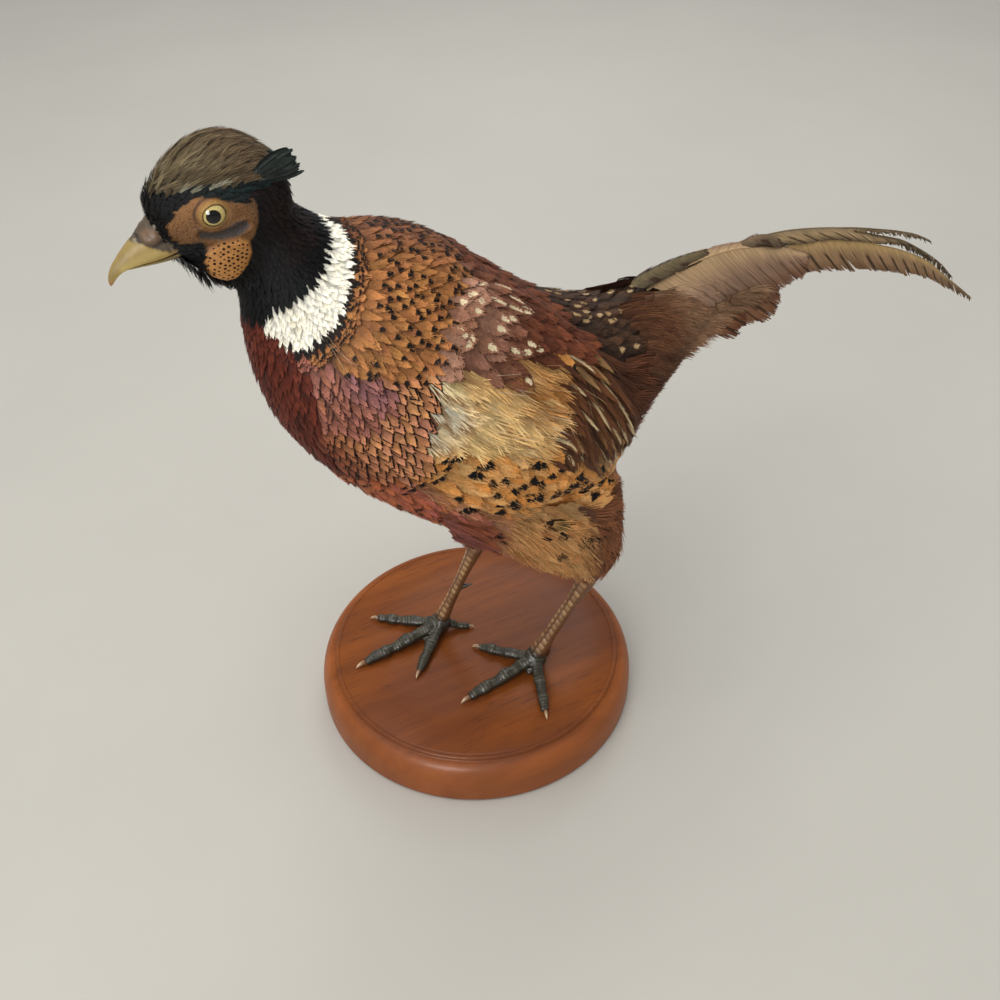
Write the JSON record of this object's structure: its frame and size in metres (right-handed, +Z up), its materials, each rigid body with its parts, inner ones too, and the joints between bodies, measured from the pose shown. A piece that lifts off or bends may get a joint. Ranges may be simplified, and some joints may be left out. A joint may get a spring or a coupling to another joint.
{
  "type": "taxidermy pheasant on a round base",
  "caption": "Mounted cock ring-necked pheasant standing on a round turned wooden base, head slightly lowered, long barred tail held out behind.",
  "frame": {"origin": "centre of the round base's flat underside", "axes": "+Z up; the bird faces -Y with its tail towards +Y; +X is the bird's left side"},
  "size_m": [0.2, 0.5886, 0.4022],
  "materials": {
    "wood_base": "stained and satin varnished",
    "head_feather": "soft short feathers",
    "neck_feather": "glossy black feathers with a dull purple sheen",
    "collar_feather": "white feathers",
    "body_feather": "golden and maroon feathers with black edges",
    "rump_feather": "dark maroon hair-like feathers",
    "wing_feather": "buff and brown feathers with cream marks",
    "thigh_feather": "fluffy orange-buff feathers",
    "tail_feather": "buff-brown feathers with dark bars",
    "face_skin": "dry bare skin with dark points",
    "bill_horn": "horn",
    "leg_scale": "dry scaled skin",
    "toe_scale": "dry scaled skin",
    "claw_horn": "horn",
    "eye_glass": "polished glass"
  },
  "bodies": {
    "root": {"base": "wood_base", "head": "head_feather", "neck": "neck_feather", "collar": "collar_feather", "trunk": "body_feather", "rump": "rump_feather", "bill_upper": "bill_horn", "bill_lower": "bill_horn", "eye_L": "eye_glass", "wattle_L": "face_skin", "ear_tuft_L": "neck_feather", "wing_L": "wing_feather", "thigh_L": "thigh_feather", "tarsus_L": "leg_scale", "spur_L": "claw_horn", "toe_middle_L": "toe_scale", "claw_middle_L": "claw_horn", "toe_inner_L": "toe_scale", "claw_inner_L": "claw_horn", "toe_outer_L": "toe_scale", "claw_outer_L": "claw_horn", "toe_hind_L": "toe_scale", "claw_hind_L": "claw_horn", "tail_central_L": "tail_feather", "tail_second_L": "tail_feather", "tail_third_L": "tail_feather", "tail_fourth_L": "tail_feather", "eye_R": "eye_glass", "wattle_R": "face_skin", "ear_tuft_R": "neck_feather", "wing_R": "wing_feather", "thigh_R": "thigh_feather", "tarsus_R": "leg_scale", "spur_R": "claw_horn", "toe_middle_R": "toe_scale", "claw_middle_R": "claw_horn", "toe_inner_R": "toe_scale", "claw_inner_R": "claw_horn", "toe_outer_R": "toe_scale", "claw_outer_R": "claw_horn", "toe_hind_R": "toe_scale", "claw_hind_R": "claw_horn", "tail_central_R": "tail_feather", "tail_second_R": "tail_feather", "tail_third_R": "tail_feather", "tail_fourth_R": "tail_feather"}
  },
  "joints": []
}
